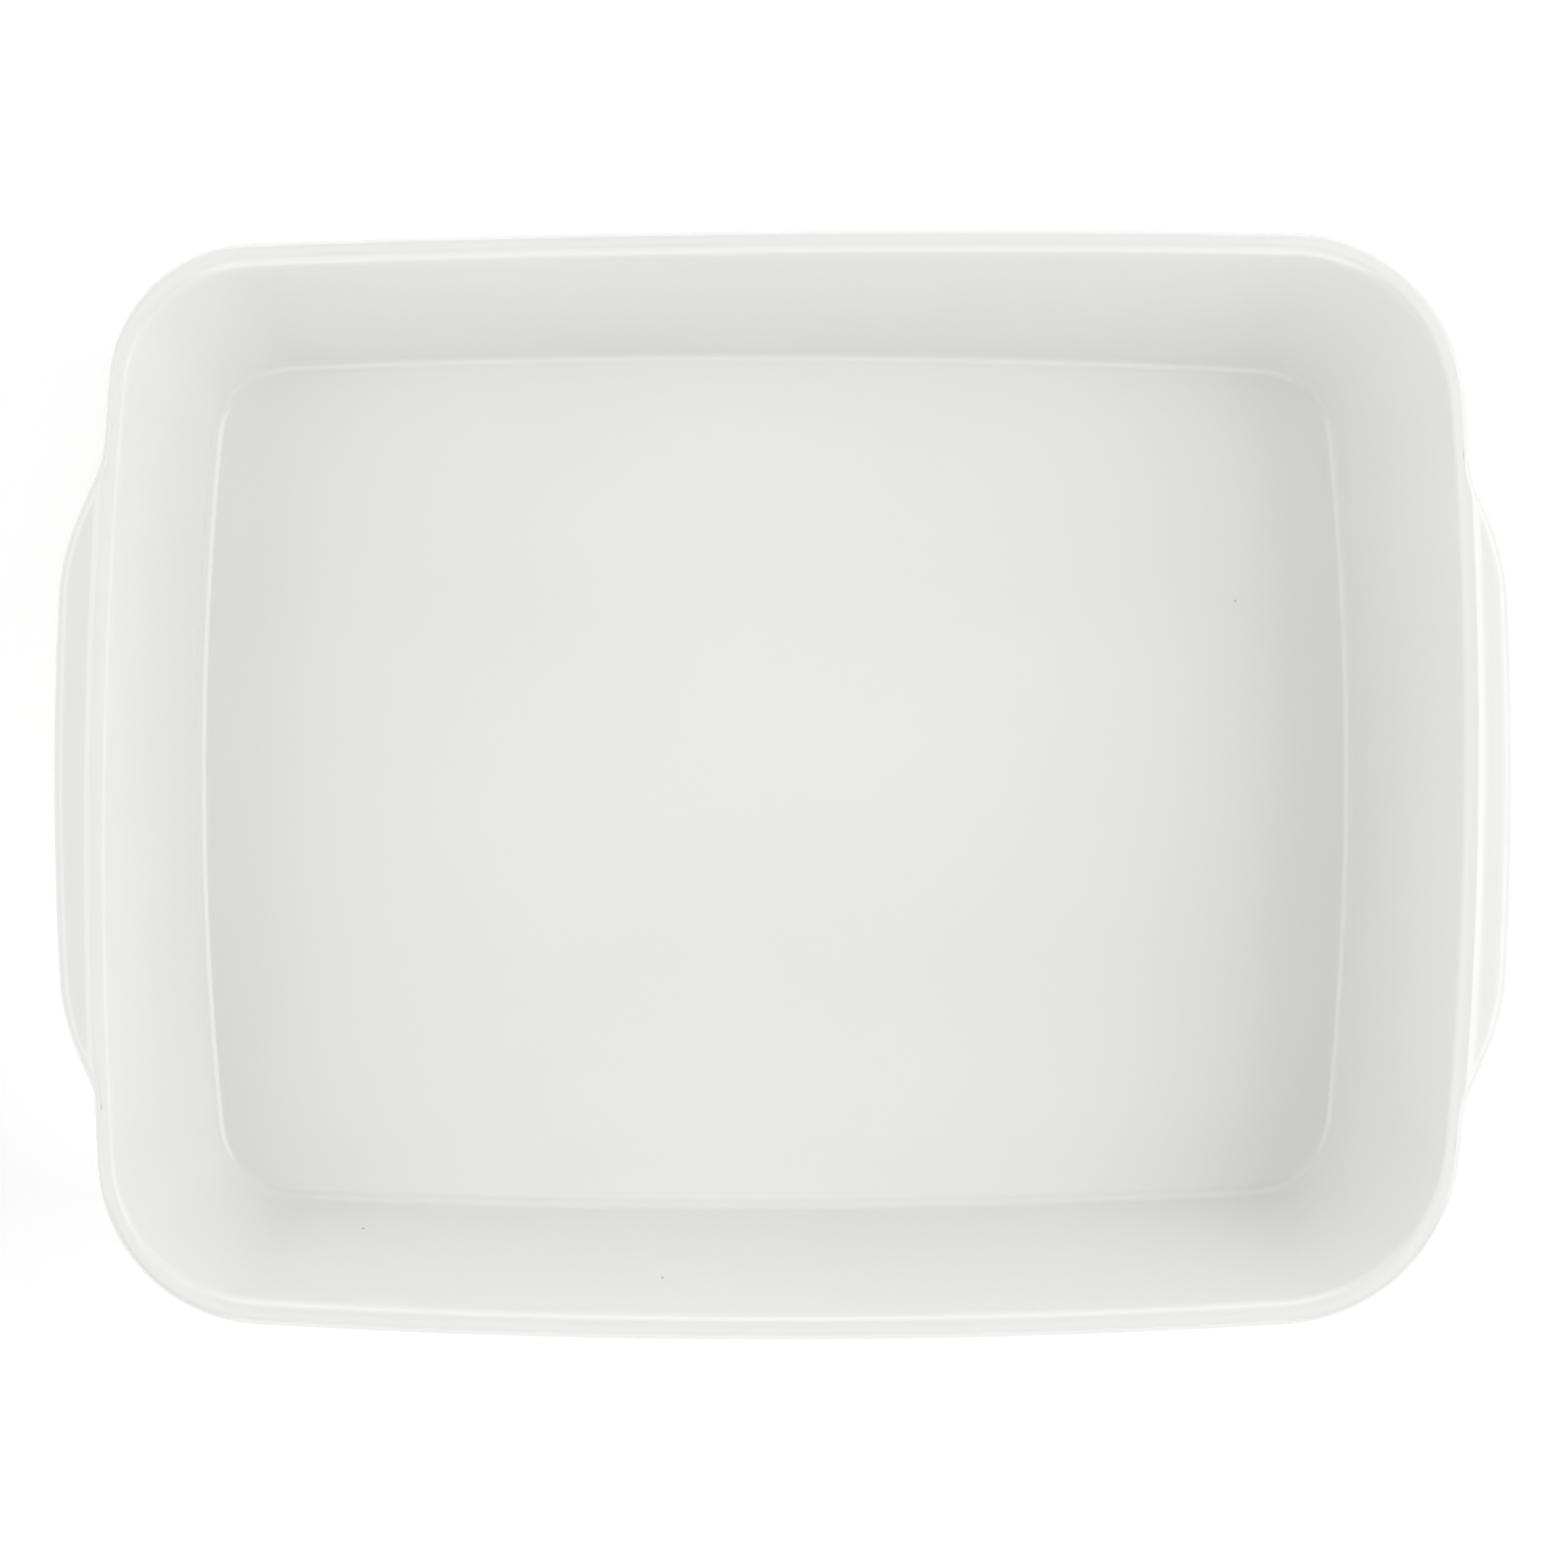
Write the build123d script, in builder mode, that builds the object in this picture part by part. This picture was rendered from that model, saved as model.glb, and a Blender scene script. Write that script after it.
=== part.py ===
from build123d import *
import os
from math import atan2, hypot, sqrt, tan

# A rectangular stoneware baking dish with a wing handle at each end, in millimetres.
# The origin is under the middle of the dish, on the surface that it stands on:
# X runs from handle to handle, Y across the dish and Z up.

# Overall sizes, of which the width is where the outer walls would meet the rim without its rounded lip
overall_length = 380
rim_width = 289.2
dish_height = 72

# How far the wing handles stand out from the rim
handle_reach = 9

# Corners of the rim, which the kiln has pulled slightly out of true: how far the end and the side bow out
# from each before it is rounded, and its radius
back_right_end_bow = 7.7
back_right_side_bow = 0.3
back_right_corner = 47
back_left_end_bow = 8.5
back_left_side_bow = 5.4
back_left_corner = 38
front_left_end_bow = 4.1
front_left_side_bow = 7.9
front_left_corner = 44
front_right_end_bow = 8.9
front_right_side_bow = 5.7
front_right_corner = 49

# Lip
end_lip = 4.4
side_lip = 6.1
lip_outer_round = 1.8
lip_inner_round = 1.3

# Underside, where the outer walls would meet it without the rounded heel
end_lean = 15.5
side_lean = 20.1
base_end_bow = 6.8
base_side_bow = 4
base_corner = 26
heel_round = 12

# Floor of the cooking space, where the walls would meet it without their hollow curve
floor_margin = 4
floor_thickness = 6
floor_hollow = 11

# Unglazed foot ring
foot_margin = 15.5
foot_corner = 18
foot_breadth = 4.5
foot_height = 2
foot_round = 0.8

# Wing handles
handle_margin = 44.6
handle_root_run = 17
handle_shoulder_run = 23
handle_tip_bow = 1.9
handle_root_stand = 1
handle_root_dive = 4.5
handle_shoulder_round = 60
handle_root_round = 60
handle_seat = 12
handle_depth = 21
handle_thickness = 6.4
handle_lip_step = 0.7
handle_fall = 1.2
handle_top_round = 2.9
handle_under_round = 2.4
handle_land = 0.6
handle_root_sink = 3.8

# The most of the slanted run between its shoulder and its root that each of a handle's two rounds may take
shoulder_tangent_share = 0.58
root_tangent_share = 0.4

# The cove under a handle: how far up it each section lies and how far out it reaches
cove_section_shares = ((0, -0.15), (0.3, 0.04), (0.6, 0.28), (0.84, 0.62), (1, 1))

rim_length = overall_length - 2 * handle_reach
rim_corners = (
    (back_right_end_bow, back_right_side_bow, back_right_corner),
    (back_left_end_bow, back_left_side_bow, back_left_corner),
    (front_left_end_bow, front_left_side_bow, front_left_corner),
    (front_right_end_bow, front_right_side_bow, front_right_corner),
)
mean_end_bow = sum(end_bow for end_bow, side_bow, radius in rim_corners) / len(rim_corners)
mean_side_bow = sum(side_bow for end_bow, side_bow, radius in rim_corners) / len(rim_corners)
base_length = rim_length - 2 * end_lean
base_width = rim_width - 2 * side_lean
foot_length = base_length - 2 * foot_margin
foot_width = base_width - 2 * foot_margin
floor_level = foot_height + floor_thickness

# Where a wing's plan ends, bends and turns its shoulder, across the dish
handle_end = rim_width / 2 - handle_margin
handle_root = handle_end - handle_root_run
handle_shoulder = handle_root - handle_shoulder_run


class BowedOutline(BaseSketchObject):
    """A rectangle with rounded corners and sides that bow outwards; its sizes are taken at mid side."""

    def __init__(self, length, width, corners, mode=Mode.ADD):
        quarters = ((1, 1), (-1, 1), (-1, -1), (1, -1))
        middles = ((length / 2, 0), (0, width / 2), (-length / 2, 0), (0, -width / 2))
        places = [
            (along * (length / 2 - end_bow), across * (width / 2 - side_bow))
            for (along, across), (end_bow, side_bow, radius) in zip(quarters, corners)
        ]
        with BuildSketch() as outline:
            with BuildLine():
                for number, middle in enumerate(middles):
                    ThreePointArc(places[number - 1], middle, places[number])
            make_face()
            for place, (end_bow, side_bow, radius) in zip(places, corners):
                fillet(outline.vertices().sort_by_distance(place)[0], radius)
        super().__init__(obj=outline.sketch, rotation=0, align=None, mode=mode)


def end_setback(y):
    """How far the bowed ends of the rim have curved back, on average, at a distance from the middle."""
    half_chord = rim_width / 2 - mean_side_bow
    bow_radius = (half_chord**2 + mean_end_bow**2) / (2 * mean_end_bow)
    return bow_radius - sqrt(bow_radius**2 - y**2)


def end_wall(level):
    """Half length of the outer walls at a height above the table."""
    rise_share = (level - foot_height) / (dish_height - foot_height)
    return (base_length + (rim_length - base_length) * rise_share) / 2


class HandleOutline(BaseSketchObject):
    """Plan of one wing handle: a bowed tip, round shoulders and hollow roots that run into the end wall."""

    def __init__(self, wall, tip, root_stand, mode=Mode.ADD):
        shoulder_x = tip - handle_tip_bow
        root_x = wall - end_setback(handle_root) + root_stand
        end_x = root_x - handle_root_dive
        seat_x = end_x - handle_seat
        slant = hypot(shoulder_x - root_x, handle_shoulder_run)
        turn = atan2(shoulder_x - root_x, handle_shoulder_run)
        shoulder_round = min(handle_shoulder_round, shoulder_tangent_share * slant / tan(turn / 2))
        root_round = min(handle_root_round, root_tangent_share * slant / tan(turn / 2))
        with BuildSketch() as outline:
            with BuildLine():
                ThreePointArc((shoulder_x, -handle_shoulder), (tip, 0), (shoulder_x, handle_shoulder))
                Polyline(
                    (shoulder_x, handle_shoulder),
                    (root_x, handle_root),
                    (end_x, handle_end),
                    (seat_x, handle_end),
                    (seat_x, -handle_end),
                    (end_x, -handle_end),
                    (root_x, -handle_root),
                    (shoulder_x, -handle_shoulder),
                )
            make_face()
            for side in (1, -1):
                root = outline.vertices().sort_by_distance((root_x, side * handle_root))[0]
                fillet(root, root_round)
                shoulder = outline.vertices().sort_by_distance((shoulder_x, side * handle_shoulder))[0]
                fillet(shoulder, shoulder_round)
        super().__init__(obj=outline.sketch, rotation=0, align=None, mode=mode)


def free_edges(face):
    """The edges of a wing's face that stay in the open, without those that are buried in the end wall."""
    edges = face.edges().filter_by_position(Axis.Y, -handle_end, handle_end, (False, False))
    return edges - face.edges().filter_by(Axis.Y)


# The space that the dish takes up with its cooking space still solid
with BuildPart() as envelope:
    with BuildSketch(Plane.XY.offset(foot_height)):
        BowedOutline(base_length, base_width, [(base_end_bow, base_side_bow, base_corner)] * 4)
    with BuildSketch(Plane.XY.offset(dish_height)):
        BowedOutline(rim_length, rim_width, rim_corners)
    loft(ruled=True)
    fillet(envelope.faces().sort_by(Axis.Z)[0].edges(), heel_round)
    fillet(envelope.faces().sort_by(Axis.Z)[-1].edges(), lip_outer_round)

# Basin: floor, walls and lip
with BuildPart() as basin:
    add(envelope.part)
    with BuildSketch(Plane.XY.offset(floor_level)):
        BowedOutline(
            base_length - 2 * floor_margin,
            base_width - 2 * floor_margin,
            [(base_end_bow, base_side_bow, base_corner - floor_margin)] * 4,
        )
    with BuildSketch(Plane.XY.offset(dish_height)):
        BowedOutline(
            rim_length - 2 * end_lip,
            rim_width - 2 * side_lip,
            [(end_bow, side_bow, radius - end_lip) for end_bow, side_bow, radius in rim_corners],
        )
    loft(ruled=True, mode=Mode.SUBTRACT)
    floor_face = basin.faces().filter_by(Plane.XY).sort_by_distance((0, 0, floor_level))[0]
    fillet(floor_face.edges(), floor_hollow)
    lip_face = basin.faces().filter_by(Plane.XY).sort_by(Axis.Z)[-1]
    fillet(lip_face.inner_wires()[0].edges(), lip_inner_round)

# The lug that both handles are cut from: a rounded wing on a cove that grows out of the end wall
wing_tip = overall_length / 2
wing_underside = dish_height - handle_lip_step - handle_thickness
wing_wall = end_wall(wing_underside)
wing_top = Plane(
    origin=(rim_length / 2, 0, dish_height - handle_lip_step),
    x_dir=(handle_reach, 0, -handle_fall),
    z_dir=(handle_fall, 0, handle_reach),
)
with BuildPart() as wing:
    with BuildSketch(Plane.XY.offset(wing_underside)):
        HandleOutline(wing_wall, wing_tip, handle_root_stand)
    extrude(amount=2 * handle_thickness)
    split(bisect_by=wing_top, keep=Keep.BOTTOM)
    fillet(free_edges(wing.faces().sort_by(Axis.Z)[-1]), handle_top_round)
    fillet(free_edges(wing.faces().sort_by(Axis.Z)[0]), handle_under_round)
    split(bisect_by=Plane.XY.offset(dish_height - handle_lip_step), keep=Keep.BOTTOM)

cove_foot = dish_height - handle_depth
cove_reach = wing_tip - handle_under_round - handle_land - wing_wall
with BuildPart() as lug:
    for height_share, reach_share in cove_section_shares:
        level = cove_foot + (wing_underside - cove_foot) * height_share
        with BuildSketch(Plane.XY.offset(level)):
            HandleOutline(end_wall(level), end_wall(level) + cove_reach * reach_share, -handle_root_sink)
    loft()
    add(wing.part)

with BuildPart() as right_handle:
    add(lug.part)
    add(envelope.part, mode=Mode.SUBTRACT)

with BuildPart() as left_handle:
    mirror(lug.part, about=Plane.YZ)
    add(envelope.part, mode=Mode.SUBTRACT)

# Foot ring: the unglazed ridge that the dish stands on, seated on the flat of the underside
with BuildPart() as foot_ring:
    with BuildSketch():
        BowedOutline(foot_length, foot_width, [(base_end_bow, base_side_bow, foot_corner)] * 4)
        BowedOutline(
            foot_length - 2 * foot_breadth,
            foot_width - 2 * foot_breadth,
            [(base_end_bow, base_side_bow, foot_corner - foot_breadth)] * 4,
            mode=Mode.SUBTRACT,
        )
    extrude(amount=foot_height)
    fillet(foot_ring.faces().sort_by(Axis.Z)[0].edges(), foot_round)

basin.part.label = "basin"
left_handle.part.label = "left_handle"
right_handle.part.label = "right_handle"
foot_ring.part.label = "foot_ring"

os.makedirs("parts", exist_ok=True)
export_step(basin.part, "parts/basin.step")
export_step(left_handle.part, "parts/left_handle.step")
export_step(right_handle.part, "parts/right_handle.step")
export_step(foot_ring.part, "parts/foot_ring.step")
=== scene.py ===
import math

import bpy
import numpy as np
from mathutils import Matrix, Vector


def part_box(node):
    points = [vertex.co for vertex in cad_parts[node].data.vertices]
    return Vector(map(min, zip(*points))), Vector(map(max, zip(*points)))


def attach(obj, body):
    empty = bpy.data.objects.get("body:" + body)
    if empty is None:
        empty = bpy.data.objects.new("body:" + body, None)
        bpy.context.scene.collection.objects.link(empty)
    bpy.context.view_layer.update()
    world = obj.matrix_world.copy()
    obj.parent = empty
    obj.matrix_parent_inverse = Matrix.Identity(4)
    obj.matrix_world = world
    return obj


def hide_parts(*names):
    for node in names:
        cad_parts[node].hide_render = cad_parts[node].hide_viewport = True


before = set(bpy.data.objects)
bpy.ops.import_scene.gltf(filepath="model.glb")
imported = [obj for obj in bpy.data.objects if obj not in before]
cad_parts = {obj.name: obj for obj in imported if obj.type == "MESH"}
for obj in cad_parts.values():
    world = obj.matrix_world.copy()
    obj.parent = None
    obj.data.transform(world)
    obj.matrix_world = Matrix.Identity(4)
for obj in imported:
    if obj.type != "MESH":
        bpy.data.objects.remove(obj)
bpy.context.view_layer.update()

# The looks of a glazed lasagna dish. The glazed surface is one net of quads: its columns run round the
# dish, and its rows go from the floor up the wall, over the lip, down the outside and under the heel.
# The dish's sizes are in millimetres until its mesh is made, and all else is in metres.

MM = 0.001
TINY = 1e-9

# The hair's breadth by which the net stays within the solids' outer sizes
HAIR = 0.005

# From the frame
basin_low, basin_high = (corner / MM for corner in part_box("basin"))
_, handle_high = (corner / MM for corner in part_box("right_handle"))
UNDERSIDE = basin_low.z
RIM_TOP = basin_high.z
WING_TIP = handle_high.x - HAIR

# Rim
HANDLE_REACH = 9
RIM_LENGTH = 2 * (WING_TIP - HANDLE_REACH)
RIM_WIDTH = 289.2 - 2 * HAIR
END_LIP = 4.4
SIDE_LIP = 6.1
OUTER_ROUND = 1.8
END_INNER_ROUND = 1.3
SIDE_INNER_ROUND = 4.8
CREST = 2.45

# Corners of the rim, from the back right anticlockwise: how far the end and the side bow out from each
# before it is rounded, and its radius
RIM_CORNERS = ((7.7, 0.3, 47), (8.5, 5.4, 38), (4.1, 7.9, 44), (8.9, 5.7, 49))
MEAN_END_BOW = sum(end_bow for end_bow, side_bow, radius in RIM_CORNERS) / len(RIM_CORNERS)
MEAN_SIDE_BOW = sum(side_bow for end_bow, side_bow, radius in RIM_CORNERS) / len(RIM_CORNERS)

# Underside and floor
END_LEAN = 15.5
SIDE_LEAN = 20.1
BASE_END_BOW = 6.8
BASE_SIDE_BOW = 4
BASE_CORNER = 26
HEEL_ROUND = 12
FLOOR_MARGIN = 8.4
FLOOR_THICKNESS = 6
FLOOR_HOLLOW = 4
FLOOR_CORNER = 22
FLAT_MARGIN = 12

# Wing handles
HANDLE_END = 100
HANDLE_ROOT = 83
HANDLE_SHOULDER = 60
TIP_BOW = 1.9
ROOT_STAND = 1
ROOT_DIVE = 4.5
ROOT_SINK = 3.8
SHOULDER_ROUND = 60
ROOT_ROUND = 60
HANDLE_DEPTH = 21
HANDLE_THICKNESS = 6.4
LIP_STEP = 0.5
WING_FALL = 1.2
TOP_ROUND = 2.9
UNDER_ROUND = 2.4
WING_LAND = 0.6
COVE_BLEND = 3
PULL_SHARE = 0.35
BURIED = 1
FALL_REACH = 6
COVE_HEIGHT_SHARES = (0, 0.3, 0.6, 0.84, 1)
COVE_REACH_SHARES = (-0.15, 0.04, 0.28, 0.62, 1)
BLEND = 2.2
BLEND_ANGLE = 0.4
BLEND_RUN = 3
LEAST_REACH = -2
REACH_ROUNDS = 8
HEART_INSET = 3.3
HEART_DEPTH = 5
SEAT_DEPTH = 0.4
WALL_MARK = 50

# Columns on each side and corner, and rows in each stretch of the profile
END_COLUMNS = 84
SIDE_COLUMNS = 64
CORNER_COLUMNS = 18
STRETCH_COLUMNS = (END_COLUMNS, CORNER_COLUMNS, SIDE_COLUMNS, CORNER_COLUMNS) * 2
HOLLOW_ROWS = 10
WALL_ROWS = 12
LIP_ROWS = 8
WING_ROWS = 56
HEEL_ROWS = 10
DENSE = 60
FINE = 500
TURN_WEIGHT = 6
TURN_WINDOW = 15


def unit(vectors):
    return vectors / np.linalg.norm(vectors, axis=-1, keepdims=True)


def smooth_step(share):
    share = np.clip(share, 0, 1)
    return share * share * (3 - 2 * share)


class Outline:
    """A rectangle with rounded corners and bowed sides, run round from its right end, anticlockwise."""

    def __init__(self, length, width, corners):
        quarters = ((1, 1), (-1, 1), (-1, -1), (1, -1))
        middles = ((length / 2, 0), (0, width / 2), (-length / 2, 0), (0, -width / 2))
        places = [
            (along * (length / 2 - end_bow), across * (width / 2 - side_bow))
            for (along, across), (end_bow, side_bow, radius) in zip(quarters, corners)
        ]
        sides = [
            circle_through(places[number - 1], middle, places[number])
            for number, middle in enumerate(middles)
        ]
        centres = []
        for number, (place, (end_bow, side_bow, radius)) in enumerate(zip(places, corners)):
            (first, first_radius), (second, second_radius) = sides[number], sides[(number + 1) % 4]
            centres.append(
                circles_meet(first, first_radius - radius, second, second_radius - radius, place)
            )
        self.arcs = []
        for number, (centre, radius) in enumerate(sides):
            following = sides[(number + 1) % 4][0]
            here = centres[number]
            self.arcs.append((centre, radius, bearing(centres[number - 1] - centre), bearing(here - centre)))
            self.arcs.append((here, corners[number][2], bearing(here - centre), bearing(here - following)))

    def points(self):
        """The place and outward direction of every column on this outline."""
        places, outward = [], []
        for (centre, radius, start, end), count in zip(self.arcs, STRETCH_COLUMNS):
            sweep = (end - start) % (2 * math.pi)
            for column in range(count):
                angle = start + sweep * column / count
                direction = np.array([math.cos(angle), math.sin(angle)])
                places.append(centre + radius * direction)
                outward.append(direction)
        return np.array(places), np.array(outward)


def bearing(vector):
    return math.atan2(vector[1], vector[0])


def circle_through(first, second, third):
    """The centre and radius of the circle through three points."""
    first, second, third = (np.array(point, float) for point in (first, second, third))
    chords = np.array([second - first, third - first])
    centre = first + np.linalg.solve(2 * chords, (chords**2).sum(1))
    return centre, np.linalg.norm(first - centre)


def circles_meet(first, first_radius, second, second_radius, near):
    """The point nearest to a place where two circles cross."""
    across = second - first
    distance = np.linalg.norm(across)
    along = (distance**2 + first_radius**2 - second_radius**2) / (2 * distance)
    height = math.sqrt(first_radius**2 - along**2)
    middle = first + across / distance * along
    sideways = np.array([-across[1], across[0]]) / distance * height
    return min((middle + sideways, middle - sideways), key=lambda point: np.linalg.norm(point - near))


def round_corner(before, here, after, radius, steps):
    """Points along the arc that rounds a corner. Any number of corners can be given at once."""
    before, here, after = (np.asarray(point, float) for point in (before, here, after))
    towards, away = unit(here - before), unit(after - here)
    radius = np.asarray(radius, float)[..., None]
    turn = np.arccos(np.clip((towards * away).sum(-1), -1, 1))[..., None]
    tangent = radius * np.tan(turn / 2)
    centre = here + unit(away - towards) * radius / np.cos(turn / 2)
    start = here - towards * tangent - centre
    end = here + away * tangent - centre
    shares = [step / steps for step in range(steps + 1)]
    return [
        centre + (np.sin((1 - share) * turn) * start + np.sin(share * turn) * end) / np.sin(turn)
        for share in shares
    ]


def between(start, end, steps):
    """The points inside a straight line, without its two ends."""
    return [start + (end - start) * step / steps for step in range(1, steps)]


def bezier(start, first_pull, last_pull, end, steps):
    """The points inside a smooth curve, without its two ends."""
    shares = np.arange(1, steps)[:, None] / steps
    rest = 1 - shares
    return (
        rest**3 * start
        + 3 * shares * rest**2 * first_pull
        + 3 * shares**2 * rest * last_pull
        + shares**3 * end
    )


def with_height(places, height):
    return np.column_stack([places, np.full(len(places), float(height))])


# Driving outlines of the walls
rim = Outline(RIM_LENGTH, RIM_WIDTH, RIM_CORNERS)
inner_rim = Outline(
    RIM_LENGTH - 2 * END_LIP,
    RIM_WIDTH - 2 * SIDE_LIP,
    [(end_bow, side_bow, radius - END_LIP) for end_bow, side_bow, radius in RIM_CORNERS],
)
base_length = RIM_LENGTH - 2 * END_LEAN
base_width = RIM_WIDTH - 2 * SIDE_LEAN
base = Outline(base_length, base_width, [(BASE_END_BOW, BASE_SIDE_BOW, BASE_CORNER)] * 4)
floor_outline = Outline(
    base_length - 2 * FLOOR_MARGIN,
    base_width - 2 * FLOOR_MARGIN,
    [(BASE_END_BOW, BASE_SIDE_BOW, FLOOR_CORNER)] * 4,
)
floor_level = UNDERSIDE + FLOOR_THICKNESS

rim_places, rim_out = rim.points()
inner_places, _ = inner_rim.points()
base_places, base_out = base.points()
floor_places, floor_out = floor_outline.points()
column_count = len(rim_places)


def end_share():
    """How much each column belongs to an end of the dish, from 0 on a long side to 1 on an end."""
    shares = []
    for number, count in enumerate(STRETCH_COLUMNS):
        for column in range(count):
            along = column / count
            shares.append((1, 1 - along, 0, along)[number % 4])
    return smooth_step(np.array(shares))


def end_wall(level):
    """Half length of the outer walls at a height."""
    share = (level - UNDERSIDE) / (RIM_TOP - UNDERSIDE)
    return (base_length + (RIM_LENGTH - base_length) * share) / 2


def end_setback(across):
    """How far the bowed ends of the rim have curved back, on average, at a distance from the middle."""
    half_chord = RIM_WIDTH / 2 - MEAN_SIDE_BOW
    bow_radius = (half_chord**2 + MEAN_END_BOW**2) / (2 * MEAN_END_BOW)
    return bow_radius - math.sqrt(bow_radius**2 - across**2)


def handle_outline(wall, tip, root_stand):
    """Half the plan of a wing: its bowed tip, round shoulder and hollow root, as points from the middle."""
    tip_radius = (HANDLE_SHOULDER**2 + TIP_BOW**2) / (2 * TIP_BOW)
    slope = HANDLE_SHOULDER / tip_radius
    shoulder = np.array([tip - TIP_BOW, HANDLE_SHOULDER])
    before = shoulder - np.array([-slope, 1]) * HANDLE_SHOULDER
    root = np.array([wall - end_setback(HANDLE_ROOT) + root_stand, HANDLE_ROOT])
    end = np.array([root[0] - ROOT_DIVE, HANDLE_END])
    shoulder_arc = round_corner(before, shoulder, root, SHOULDER_ROUND, DENSE)
    root_arc = round_corner(shoulder, root, end, ROOT_ROUND, DENSE)
    tip_ys = np.linspace(0, shoulder_arc[0][1], DENSE, endpoint=False)
    tip_xs = tip - tip_radius + np.sqrt(tip_radius**2 - tip_ys**2)
    return np.vstack([np.column_stack([tip_xs, tip_ys]), shoulder_arc, root_arc, [end]])


def reach_to(outline, place, outward):
    """How far a plan outline lies beyond a place on the rim's right end, along its outward direction."""
    distance = 0
    for _ in range(REACH_ROUNDS):
        y = abs(place[1] + outward[1] * distance)
        distance = (np.interp(y, outline[:, 1], outline[:, 0]) - place[0]) / outward[0]
    return distance


# The wing's plan at its own level, and that of the cove at the height of each of its sections
wing_underside = RIM_TOP - LIP_STEP - HANDLE_THICKNESS
wing_wall = end_wall(wing_underside)
wing_outline = handle_outline(wing_wall, WING_TIP, ROOT_STAND)
cove_foot = RIM_TOP - HANDLE_DEPTH
cove_reach = WING_TIP - UNDER_ROUND - WING_LAND - wing_wall
cove_levels = cove_foot + (wing_underside - cove_foot) * np.array(COVE_HEIGHT_SHARES)
cove_outlines = [
    handle_outline(end_wall(level), end_wall(level) + cove_reach * share, -ROOT_SINK)
    for level, share in zip(cove_levels, COVE_REACH_SHARES)
]

# The point inside the wall that its profiles are seen from, where a wing is joined to them
profile_heart = np.array([-HEART_INSET, RIM_TOP - HEART_DEPTH])


def plain_profile(lean):
    """The wall's outside without a wing, from the lip's crest down, as distances out and heights."""
    corner = np.array([0, RIM_TOP])
    crest = corner - [CREST, 0]
    foot = np.array([-lean * (RIM_TOP - WALL_MARK), WALL_MARK])
    arc = round_corner(crest, corner, foot, OUTER_ROUND, DENSE)
    wall = between(arc[-1], foot, 4 * DENSE)
    return np.array([crest, *arc, *wall, foot])


def wing_profile(reach, cove, lean):
    """The outside of a wing and of the cove under it, from inside the lip down."""
    top_level = RIM_TOP - LIP_STEP
    fall = WING_FALL / HANDLE_REACH * smooth_step(reach / FALL_REACH)
    inner = np.array([reach - HANDLE_REACH, top_level - fall * (reach - HANDLE_REACH)])
    tip = np.array([reach, top_level - fall * reach])
    under = np.array([reach, wing_underside])
    curve = np.polyfit(cove_levels, cove, len(cove) - 1)
    levels = np.linspace(wing_underside, cove_foot, 2 * DENSE)
    buried = -lean * (RIM_TOP - levels) - BURIED
    hollow = np.column_stack([np.maximum(np.polyval(curve, levels), buried), levels])
    hollow = hollow[levels < wing_underside - COVE_BLEND]
    inward = np.array([-1, 0])
    nose = [*round_corner(inner, tip, under, TOP_ROUND, DENSE),
            *round_corner(tip, under, under + inward * HANDLE_REACH, UNDER_ROUND, DENSE)]
    top_outs = np.linspace(-2 * HANDLE_REACH, nose[0][0], 4 * DENSE, endpoint=False)
    top = np.column_stack([top_outs, top_level - fall * np.maximum(top_outs, 0)])
    pull = np.linalg.norm(hollow[0] - nose[-1]) * PULL_SHARE
    upward = unit(hollow[0] - hollow[1])
    bend = bezier(nose[-1], nose[-1] + inward * pull, hollow[0] + upward * pull, hollow[0], DENSE)
    return np.array([*top, *nose, *bend, *hollow])


def polar(profile):
    """Angles and distances of a profile's points about the wall's heart, in the order of rising angles."""
    arms = profile - profile_heart
    angles = np.unwrap(np.arctan2(arms[:, 1], arms[:, 0]))
    falling = np.concatenate([[True], angles[1:] < np.minimum.accumulate(angles)[:-1]])
    return angles[falling][::-1], np.linalg.norm(arms, axis=1)[falling][::-1]


def joined_profile(plain, wing, softness):
    """The outside of wall and wing together, with the hollow where they meet filled softly."""
    plain_angles, plain_arms = polar(plain)
    wing_angles, wing_arms = polar(wing)
    low, high = plain_angles[0], plain_angles[-1]
    inside = wing_angles[(wing_angles > low) & (wing_angles < high)]
    angles = np.unique(np.concatenate([plain_angles, inside]))[::-1]
    first = np.interp(angles, plain_angles, plain_arms)
    second = np.interp(angles, wing_angles, wing_arms, left=0, right=0)
    softness = softness * smooth_step((plain_angles[-1] - angles) / BLEND_ANGLE)
    overlap = np.clip(softness - np.abs(first - second), 0, None) / np.maximum(softness, TINY)
    arms = np.maximum(first, second) + overlap**2 * softness / 4
    return profile_heart + np.column_stack([np.cos(angles), np.sin(angles)]) * arms[:, None]


def along_line(line, distances, wanted):
    return np.column_stack([np.interp(wanted, distances, line[:, axis]) for axis in (0, 1)])


def run_lengths(line):
    """How far along a line each of its points lies."""
    return np.concatenate([[0], np.cumsum(np.linalg.norm(np.diff(line, axis=0), axis=1))])


def spread_rows(profile, rows):
    """Points along a profile, closer together where it turns."""
    distances = run_lengths(profile)
    even = along_line(profile, distances, np.linspace(0, distances[-1], FINE + 1))
    steps = np.diff(even, axis=0)
    headings = np.unwrap(np.arctan2(steps[:, 1], steps[:, 0]))
    window = np.ones(TURN_WINDOW) / TURN_WINDOW
    turns = np.abs(np.convolve(np.diff(headings), window, "same"))
    weights = run_lengths(even)
    weights[1:-1] += TURN_WEIGHT * np.cumsum(turns)
    weights[-1] += TURN_WEIGHT * turns.sum()
    return along_line(even, weights, np.linspace(0, weights[-1], rows + 1))


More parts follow.
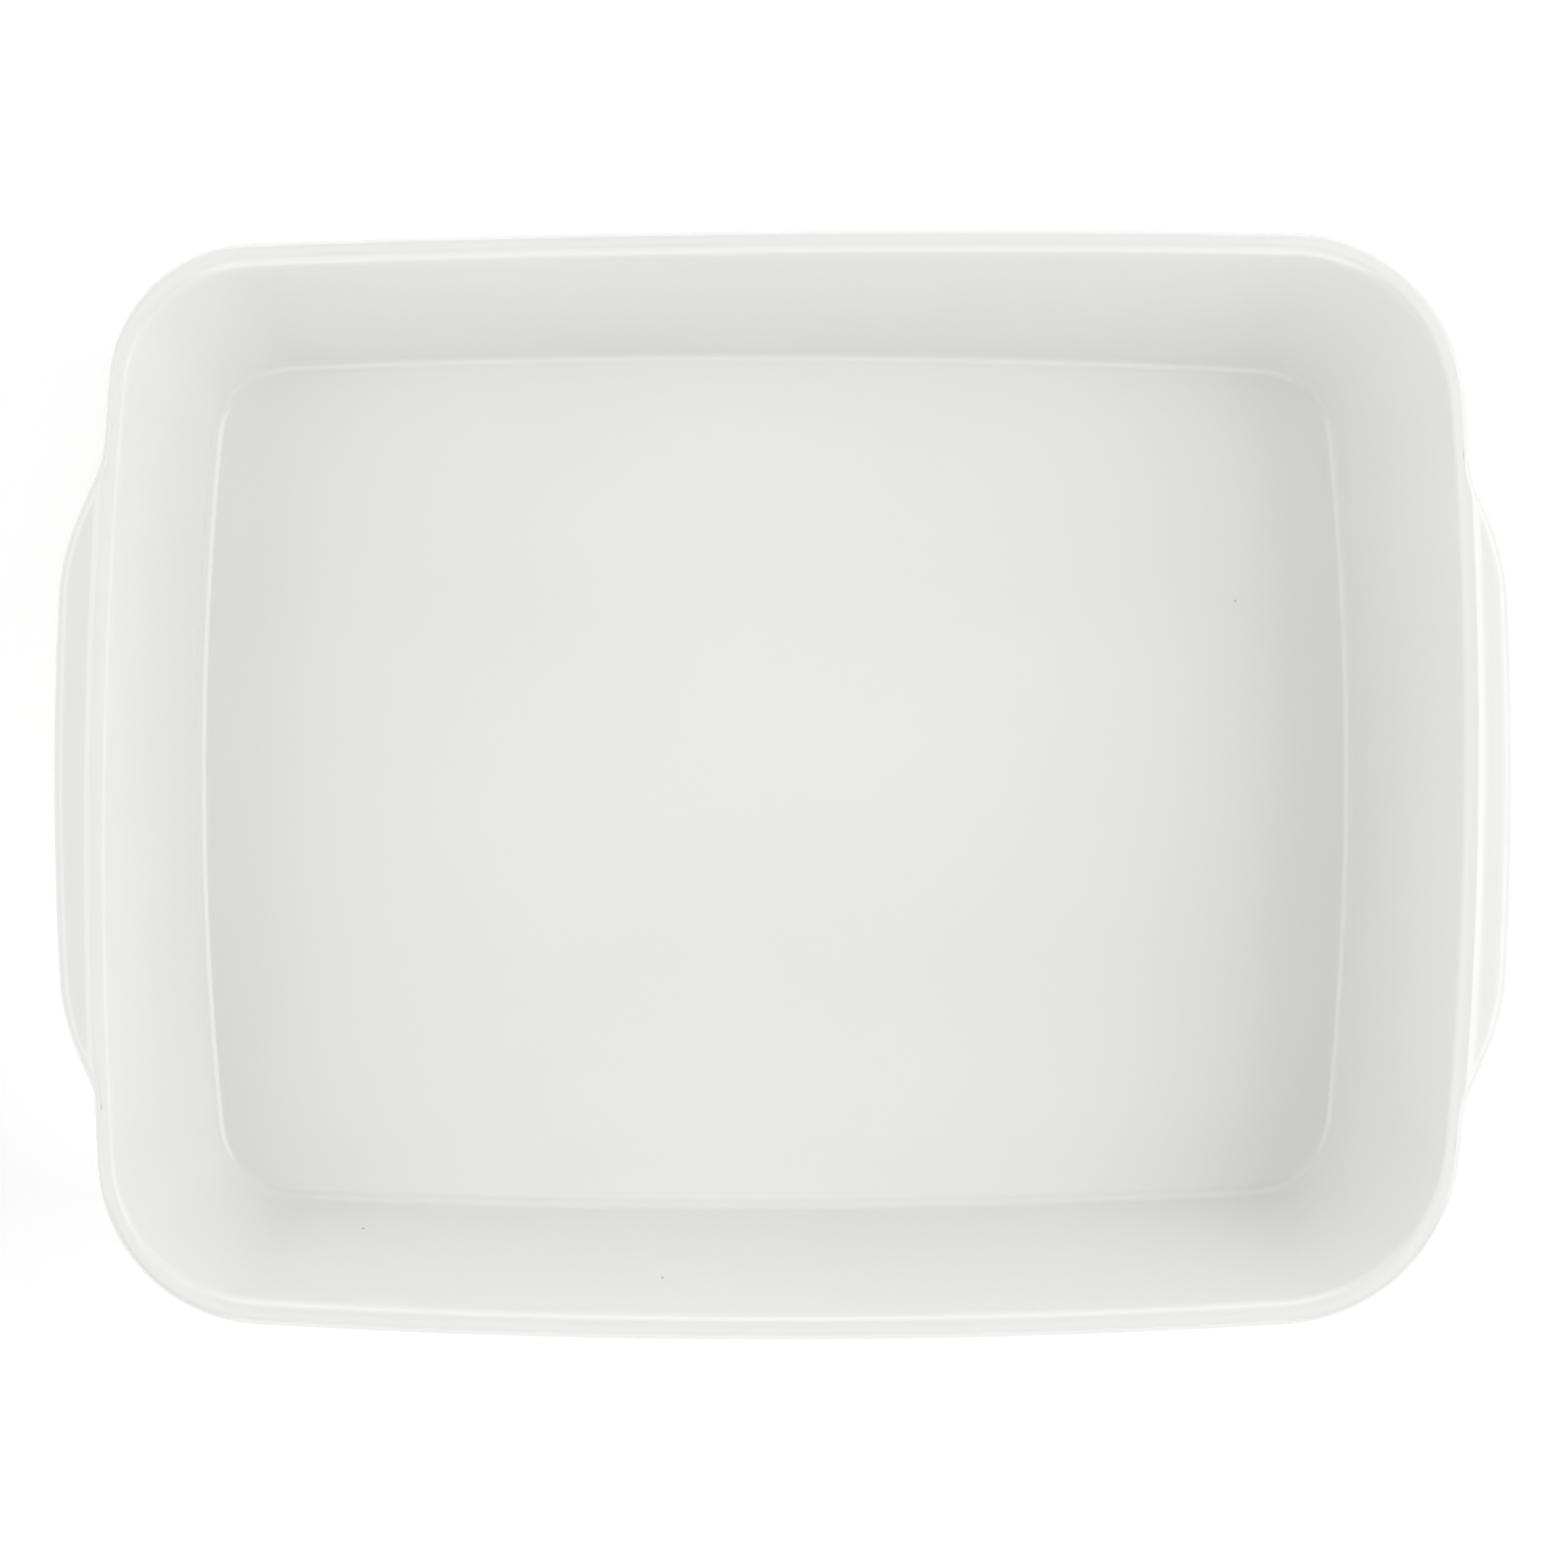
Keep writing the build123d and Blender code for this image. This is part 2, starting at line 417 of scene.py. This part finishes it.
def outer_rows():
    """Rows from the lip's crest down to the wall mark, with and without wings, and the columns with one."""
    lean_vectors = base_places - rim_places
    depth = RIM_TOP - UNDERSIDE
    outward_lean = -(lean_vectors * rim_out).sum(1) / depth
    drift = lean_vectors / depth + rim_out * outward_lean[:, None]
    shown, plain, has_wing = [], [], []
    for place, outward, lean, aside in zip(rim_places, rim_out, outward_lean, drift):
        wall = plain_profile(lean)
        side = np.sign(place[0])
        towards = np.array([outward[0] * side, outward[1]])
        spot = np.array([abs(place[0]), place[1]])
        beside = towards[0] > 0 and abs(place[1]) < HANDLE_END
        reach = reach_to(wing_outline, spot, towards) if beside else LEAST_REACH
        winged = reach > LEAST_REACH
        profile = wall
        if winged:
            cove = [reach_to(outline, spot, towards) for outline in cove_outlines]
            softness = BLEND * min((reach - LEAST_REACH) / BLEND_RUN, 1)
            profile = joined_profile(wall, wing_profile(reach, cove, lean), softness)
        for rows, line in ((shown, profile), (plain, wall)):
            line = spread_rows(line, WING_ROWS)
            flat = place + outward * line[:, :1] + aside * (RIM_TOP - line[:, 1:])
            rows.append(np.column_stack([flat, line[:, 1]]))
        has_wing.append(winged)
    return np.array(shown).swapaxes(0, 1), np.array(plain).swapaxes(0, 1), np.array(has_wing)


def inner_rows():
    """Rows from the edge of the flat floor, up the inner wall and over the lip to its crest."""
    corner = with_height(floor_places, floor_level)
    flat = with_height(floor_places - floor_out * FLAT_MARGIN, floor_level)
    edge = with_height(inner_places, RIM_TOP)
    crest = with_height(rim_places - rim_out * CREST, RIM_TOP)
    inner_round = SIDE_INNER_ROUND + (END_INNER_ROUND - SIDE_INNER_ROUND) * end_share()
    hollow = round_corner(flat, corner, edge, np.full(column_count, FLOOR_HOLLOW), HOLLOW_ROWS)
    lip = round_corner(corner, edge, crest, inner_round, LIP_ROWS)
    wall = between(hollow[-1], lip[0], WALL_ROWS)
    return np.array([flat, *hollow, *wall, *lip])


def under_rows(start):
    """Rows from the wall mark down round the heel to the flat underside."""
    corner = with_height(base_places, UNDERSIDE)
    flat = with_height(base_places - base_out * FLAT_MARGIN, UNDERSIDE)
    heel = round_corner(start, corner, flat, np.full(column_count, HEEL_ROUND), HEEL_ROWS)
    return np.array([*between(start, heel[0], WALL_ROWS), *heel, flat])


def cap_grid(ring):
    """A flat grid inside a ring of columns, cut into four sides at the middles of its corners."""
    half = CORNER_COLUMNS // 2
    long_count = SIDE_COLUMNS + CORNER_COLUMNS
    short_count = END_COLUMNS + CORNER_COLUMNS
    around = np.roll(np.arange(column_count), half)
    right = around[: short_count + 1]
    back = around[short_count : short_count + long_count + 1][::-1]
    left = around[short_count + long_count : 2 * short_count + long_count + 1][::-1]
    front = np.append(around[2 * short_count + long_count :], around[0])
    across = np.linspace(0, 1, long_count + 1)[:, None, None]
    up = np.linspace(0, 1, short_count + 1)[None, :, None]
    bottom, top = ring[front][:, None], ring[back][:, None]
    start, end = ring[left][None], ring[right][None]
    sheet = (1 - up) * bottom + up * top + (1 - across) * start + across * end
    sheet -= (1 - across) * (1 - up) * ring[front[0]] + across * (1 - up) * ring[front[-1]]
    sheet -= (1 - across) * up * ring[back[0]] + across * up * ring[back[-1]]
    rim_ids = {}
    for number, column in enumerate(front):
        rim_ids[number, 0] = column
    for number, column in enumerate(back):
        rim_ids[number, short_count] = column
    for number, column in enumerate(left):
        rim_ids[0, number] = column
    for number, column in enumerate(right):
        rim_ids[long_count, number] = column
    return sheet, rim_ids


class Net:
    """The vertices and quads of the whole dish, and the node that each quad stands for."""

    def __init__(self):
        self.places = []
        self.quads = []
        self.owners = []

    def add_places(self, places):
        first = len(self.places)
        self.places.extend(places)
        return np.arange(first, first + len(places))

    def add_quad(self, quad, owner):
        self.quads.append(quad)
        self.owners.append(owner)


def build_net():
    """Everything that shows, and the hidden seats between the basin and its wings."""
    shown, plain, has_wing = outer_rows()
    inside = inner_rows()
    under = under_rows(shown[-1])
    rows = np.concatenate([inside, shown, under])
    net = Net()
    ids = net.add_places(rows.reshape(-1, 3)).reshape(rows.shape[:2])
    first_wing_row = len(inside)
    last_wing_row = first_wing_row + WING_ROWS
    wing_columns = has_wing & np.roll(has_wing, -1)
    for row in range(len(rows) - 1):
        in_wing_rows = first_wing_row <= row < last_wing_row
        for column in range(column_count):
            after = (column + 1) % column_count
            owner = "basin"
            if in_wing_rows and wing_columns[column]:
                owner = "right_handle" if rows[row, column, 0] > 0 else "left_handle"
            quad = (ids[row, column], ids[row + 1, column], ids[row + 1, after], ids[row, after])
            net.add_quad(quad, owner)
    for ring_row, flip in ((0, False), (len(rows) - 1, True)):
        add_cap(net, rows[ring_row], ids[ring_row], flip)
    seats = add_seats(net, shown, plain, wing_columns, ids[first_wing_row : last_wing_row + 1])
    return net, seats


def add_cap(net, ring, ring_ids, flip):
    sheet, rim_ids = cap_grid(ring)
    ids = np.zeros(sheet.shape[:2], int)
    inner = net.add_places(sheet[1:-1, 1:-1].reshape(-1, 3))
    ids[1:-1, 1:-1] = inner.reshape(sheet.shape[0] - 2, sheet.shape[1] - 2)
    for (number, other), column in rim_ids.items():
        ids[number, other] = ring_ids[column]
    for number in range(sheet.shape[0] - 1):
        for other in range(sheet.shape[1] - 1):
            quad = (ids[number, other], ids[number + 1, other],
                    ids[number + 1, other + 1], ids[number, other + 1])
            net.add_quad(quad[::-1] if flip else quad, "basin")


def add_seats(net, shown, plain, wing_columns, ids):
    """The hidden faces where each wing is joined on, sunk a little below the plain wall."""
    seats = []
    columns = np.flatnonzero(wing_columns)
    for side in (1, -1):
        block = [column for column in columns if np.sign(shown[0, column, 0]) == side]
        if side == 1:
            block = sorted(block, key=lambda column: (column + column_count // 2) % column_count)
        lines = [*block, (block[-1] + 1) % column_count]
        wall = plain[:, lines]
        down = np.gradient(wall, axis=0)
        along = np.gradient(wall, axis=1)
        outward = unit(np.cross(along, -down))
        sunk = wall - outward * SEAT_DEPTH
        seat_ids = ids[:, lines].copy()
        inner = net.add_places(sunk[1:-1, 1:-1].reshape(-1, 3))
        seat_ids[1:-1, 1:-1] = inner.reshape(len(wall) - 2, len(lines) - 2)
        seats.append((("right_handle", "left_handle")[side < 0], seat_ids))
    return seats


net, seats = build_net()
places = np.array(net.places)
quads = np.array(net.quads)
owners = np.array(net.owners)


def shared_normals():
    """One normal for each vertex of the shown surface, so that pieces that meet shade as one."""
    corners = places[quads]
    facing = np.cross(corners[:, 2] - corners[:, 0], corners[:, 3] - corners[:, 1])
    normals = np.zeros_like(places)
    for corner in range(4):
        np.add.at(normals, quads[:, corner], facing)
    lengths = np.linalg.norm(normals, axis=1)
    normals[lengths == 0] = (0, 0, 1)
    return unit(normals)


normals = shared_normals()


def make_piece(name, node):
    """A closed mesh for one node: its part of the shown surface, and its side of the hidden seats."""
    faces = [tuple(quad) for quad in quads[owners == node]]
    directions = [[normals[corner] for corner in face] for face in faces]
    for owner, seat in seats:
        if node not in (owner, "basin"):
            continue
        for row in range(seat.shape[0] - 1):
            for column in range(seat.shape[1] - 1):
                face = (seat[row, column], seat[row, column + 1],
                        seat[row + 1, column + 1], seat[row + 1, column])
                face = face[::-1] if node == "basin" else face
                corners = places[list(face)]
                facing = np.cross(corners[2] - corners[0], corners[3] - corners[1])
                faces.append(face)
                directions.append([facing / np.linalg.norm(facing)] * 4)
    used = sorted({corner for face in faces for corner in face})
    renumbered = {corner: number for number, corner in enumerate(used)}
    mesh = bpy.data.meshes.new(name)
    mesh.from_pydata(
        [tuple(places[corner] * MM) for corner in used],
        [],
        [tuple(renumbered[corner] for corner in face) for face in faces],
    )
    mesh.update()
    mesh.normals_split_custom_set([tuple(direction) for face in directions for direction in face])
    piece = bpy.data.objects.new(name, mesh)
    bpy.context.scene.collection.objects.link(piece)
    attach(piece, "root")
    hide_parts(node)
    return piece


basin_piece = make_piece("glazed_basin", "basin")
left_piece = make_piece("glazed_left_handle", "left_handle")
right_piece = make_piece("glazed_right_handle", "right_handle")


# Finishes, with the sizes of their detail in metres
SPECK_CELL = 0.016
SPECK_RADIUS = 0.0005
RAREST_SPECKS = 0.8
PEEL_SIZE = 0.0035
PEEL_HEIGHT = 0.000006
WAVE_SIZE = 0.045
WAVE_HEIGHT = 0.00012
CLOUD_SIZE = 0.09
CLOUD_DETAIL = 3
CLOUD_RANGE = (0.35, 0.65)
GLAZE_ROUGHNESS = (0.13, 0.17)
GLAZE_IOR = 1.52
GRAIN_SIZE = 0.0007
GRAIN_HEIGHT = 0.00012
CLAY_DETAIL = 4
CLAY_RANGE = (0.3, 0.7)
CLAY_ROUGHNESS = (0.78, 0.92)
SAND_SHARE = 0.4
TOAST_SHARE = 0.7
GLAZE_LINE = 0.0016
GLAZE_PALE = (0.835, 0.835, 0.825, 1)
GLAZE_WARM = (0.825, 0.822, 0.806, 1)
SPECK_BROWN = (0.3, 0.26, 0.22, 1)
CLAY_PALE = (0.68, 0.63, 0.55, 1)
CLAY_BUFF = (0.6, 0.55, 0.46, 1)
CLAY_DARK = (0.42, 0.36, 0.29, 1)
CLAY_TOAST = (0.5, 0.36, 0.25, 1)


class Finish:
    """A material's nodes, with short ways to add and join them."""

    def __init__(self, name):
        self.material = bpy.data.materials.new(name)
        self.material.use_nodes = True
        self.nodes = self.material.node_tree.nodes
        self.shader = self.nodes["Principled BSDF"]
        self.place = self.add("ShaderNodeTexCoord").outputs["Object"]

    def add(self, kind, inputs=None, **settings):
        node = self.nodes.new(kind)
        for key, value in settings.items():
            setattr(node, key, value)
        for key, value in (inputs or {}).items():
            self.join(value, node.inputs[key])
        return node

    def join(self, value, socket):
        """Links a socket's source to it, or sets its plain value."""
        if isinstance(value, bpy.types.NodeSocket):
            self.material.node_tree.links.new(value, socket)
        else:
            socket.default_value = value

    def noise(self, size, detail=2):
        inputs = {"Vector": self.place, "Scale": 1 / size, "Detail": detail}
        return self.add("ShaderNodeTexNoise", inputs).outputs["Fac"]

    def spread(self, value, low, high, start=0.0, end=1.0):
        """A value's range from low to high, stretched to run from start to end."""
        inputs = {"Value": value, "From Min": low, "From Max": high, "To Min": start, "To Max": end}
        return self.add("ShaderNodeMapRange", inputs).outputs["Result"]

    def combine(self, operation, first, second):
        return self.add("ShaderNodeMath", {0: first, 1: second}, operation=operation).outputs[0]

    def blend(self, share, first, second):
        node = self.add("ShaderNodeMix", data_type="RGBA")
        self.join(share, node.inputs[0])
        self.join(first, node.inputs[6])
        self.join(second, node.inputs[7])
        return node.outputs[2]

    def bump(self, height, depth, below=None):
        node = self.add("ShaderNodeBump", {"Height": height, "Distance": depth})
        if below:
            self.join(below, node.inputs["Normal"])
        return node.outputs["Normal"]


def glaze_material():
    """Glossy off-white glaze: faintly clouded, gently uneven, and with a rare dark speck."""
    finish = Finish("gloss_glaze")
    clouds = finish.spread(finish.noise(CLOUD_SIZE, CLOUD_DETAIL), *CLOUD_RANGE)
    body = finish.blend(clouds, GLAZE_PALE, GLAZE_WARM)
    cells = finish.add("ShaderNodeTexVoronoi", {"Vector": finish.place, "Scale": 1 / SPECK_CELL})
    rarity = finish.add("ShaderNodeSeparateColor", {"Color": cells.outputs["Color"]}).outputs["Red"]
    edge = SPECK_RADIUS / SPECK_CELL
    near = finish.spread(cells.outputs["Distance"], edge, edge / 2)
    rare = finish.combine("GREATER_THAN", rarity, RAREST_SPECKS)
    speck = finish.combine("MULTIPLY", near, rare)
    finish.join(finish.blend(speck, body, SPECK_BROWN), finish.shader.inputs["Base Color"])
    finish.join(finish.spread(clouds, 0, 1, *GLAZE_ROUGHNESS), finish.shader.inputs["Roughness"])
    wave = finish.bump(finish.noise(WAVE_SIZE), WAVE_HEIGHT)
    peel = finish.bump(finish.noise(PEEL_SIZE), PEEL_HEIGHT, wave)
    finish.join(peel, finish.shader.inputs["Normal"])
    finish.shader.inputs["IOR"].default_value = GLAZE_IOR
    return finish.material


def clay_material():
    """Bare fired clay: sandy, dull and toasted along the edge of the glaze."""
    finish = Finish("bare_clay")
    patches = finish.spread(finish.noise(WAVE_SIZE, CLAY_DETAIL), *CLAY_RANGE)
    sand = finish.spread(finish.noise(GRAIN_SIZE, CLAY_DETAIL), *CLAY_RANGE)
    body = finish.blend(patches, CLAY_PALE, CLAY_BUFF)
    grainy = finish.blend(finish.spread(sand, 0, 1, 0, SAND_SHARE), body, CLAY_DARK)
    height = finish.add("ShaderNodeSeparateXYZ", {"Vector": finish.place}).outputs["Z"]
    toast = finish.spread(height, GLAZE_LINE / 2, GLAZE_LINE, 0, TOAST_SHARE)
    finish.join(finish.blend(toast, grainy, CLAY_TOAST), finish.shader.inputs["Base Color"])
    finish.join(finish.spread(sand, 0, 1, *CLAY_ROUGHNESS), finish.shader.inputs["Roughness"])
    finish.join(finish.bump(sand, GRAIN_HEIGHT), finish.shader.inputs["Normal"])
    return finish.material


glaze = glaze_material()
for piece in (basin_piece, left_piece, right_piece):
    piece.data.materials.append(glaze)
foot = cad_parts["foot_ring"]
foot.material_slots[0].material = clay_material()

# Table
TABLE_RADIUS = 1.5
TABLE_STEPS = 128
TABLE_WHITE = (0.97, 0.97, 0.97, 1)
TABLE_ROUGHNESS = 0.9
TABLE_GLOW = 0.14
FULL_WHITE = (1, 1, 1, 1)


def table_material():
    """Dull white, and faintly lit from below as a light table is."""
    material = bpy.data.materials.new("floor")
    material.use_nodes = True
    shader = material.node_tree.nodes["Principled BSDF"]
    shader.inputs["Base Color"].default_value = TABLE_WHITE
    shader.inputs["Roughness"].default_value = TABLE_ROUGHNESS
    shader.inputs["Emission Color"].default_value = FULL_WHITE
    shader.inputs["Emission Strength"].default_value = TABLE_GLOW
    return material


def make_floor():
    """A plain round table."""
    mesh = bpy.data.meshes.new("floor")
    turns = [2 * math.pi * step / TABLE_STEPS for step in range(TABLE_STEPS)]
    edge = [(TABLE_RADIUS * math.cos(turn), TABLE_RADIUS * math.sin(turn), 0) for turn in turns]
    mesh.from_pydata(edge, [], [tuple(range(TABLE_STEPS))])
    floor = bpy.data.objects.new("floor", mesh)
    bpy.context.scene.collection.objects.link(floor)
    mesh.materials.append(table_material())


make_floor()

# Square soft boxes round the dish, all at one distance: bearing and elevation in degrees, width in metres
# and power in watts
LAMP_DISTANCE = 2.2
LAMPS = {
    "low_back": (90, 18, 1.3, 8.5),
    "low_front": (270, 18, 1.3, 6.5),
    "right": (0, 40, 1.5, 21.5),
    "back_right": (45, 40, 1.5, 8),
    "back_left": (135, 40, 1.5, 7.5),
    "left": (180, 40, 1.5, 15),
    "front": (270, 40, 1.5, 10.5),
    "overhead": (0, 90, 1.4, 6.5),
}


def soft_box(name, bearing_degrees, elevation_degrees, width, power):
    """A square area light that faces the dish."""
    around, up = math.radians(bearing_degrees), math.radians(elevation_degrees)
    towards = Vector((math.cos(up) * math.cos(around), math.cos(up) * math.sin(around), math.sin(up)))
    light = bpy.data.lights.new(name, "AREA")
    light.size = width
    light.energy = power
    lamp = bpy.data.objects.new(name, light)
    bpy.context.scene.collection.objects.link(lamp)
    lamp.location = towards * LAMP_DISTANCE
    lamp.rotation_euler = towards.to_track_quat("Z", "Y").to_euler()


for name, settings in LAMPS.items():
    soft_box(name, *settings)

# Horizon: its strength, and between which heights of the line of sight it fades, from 0 level to 1 upright
WALL_GLOW = 1.05
WALL_FADE = 0.18
WALL_TOP = 0.34


def pale_walls():
    """A world that is white round the horizon, like the walls of a studio, and dark overhead."""
    world = bpy.data.worlds.new("studio")
    world.use_nodes = True
    nodes, links = world.node_tree.nodes, world.node_tree.links
    direction = nodes.new("ShaderNodeTexCoord")
    axes = nodes.new("ShaderNodeSeparateXYZ")
    fade = nodes.new("ShaderNodeMapRange")
    fade.interpolation_type = "SMOOTHSTEP"
    fading = {"From Min": WALL_FADE, "From Max": WALL_TOP, "To Min": WALL_GLOW, "To Max": 0}
    for socket, value in fading.items():
        fade.inputs[socket].default_value = value
    links.new(direction.outputs["Generated"], axes.inputs["Vector"])
    links.new(axes.outputs["Z"], fade.inputs["Value"])
    links.new(fade.outputs["Result"], nodes["Background"].inputs["Strength"])
    nodes["Background"].inputs["Color"].default_value = FULL_WHITE
    bpy.context.scene.world = world


pale_walls()
bpy.context.scene.view_settings.view_transform = "Standard"

# The photograph's view: nearly straight down, a little from the left and the back
LENS = 106.35
CAMERA_PLACE = (-0.0591, 0.025, 1.272)
AIM = Vector((-0.0014, 0.0007, 0.072))

camera_data = bpy.data.cameras.new("camera")
camera = bpy.data.objects.new("camera", camera_data)
bpy.context.scene.collection.objects.link(camera)
camera_data.lens = LENS
camera.location = CAMERA_PLACE
backwards = (camera.location - AIM).normalized()
rightwards = Vector((0, 1, 0)).cross(backwards).normalized()
upwards = backwards.cross(rightwards)
camera.rotation_euler = Matrix((rightwards, upwards, backwards)).transposed().to_euler()
bpy.context.scene.camera = camera
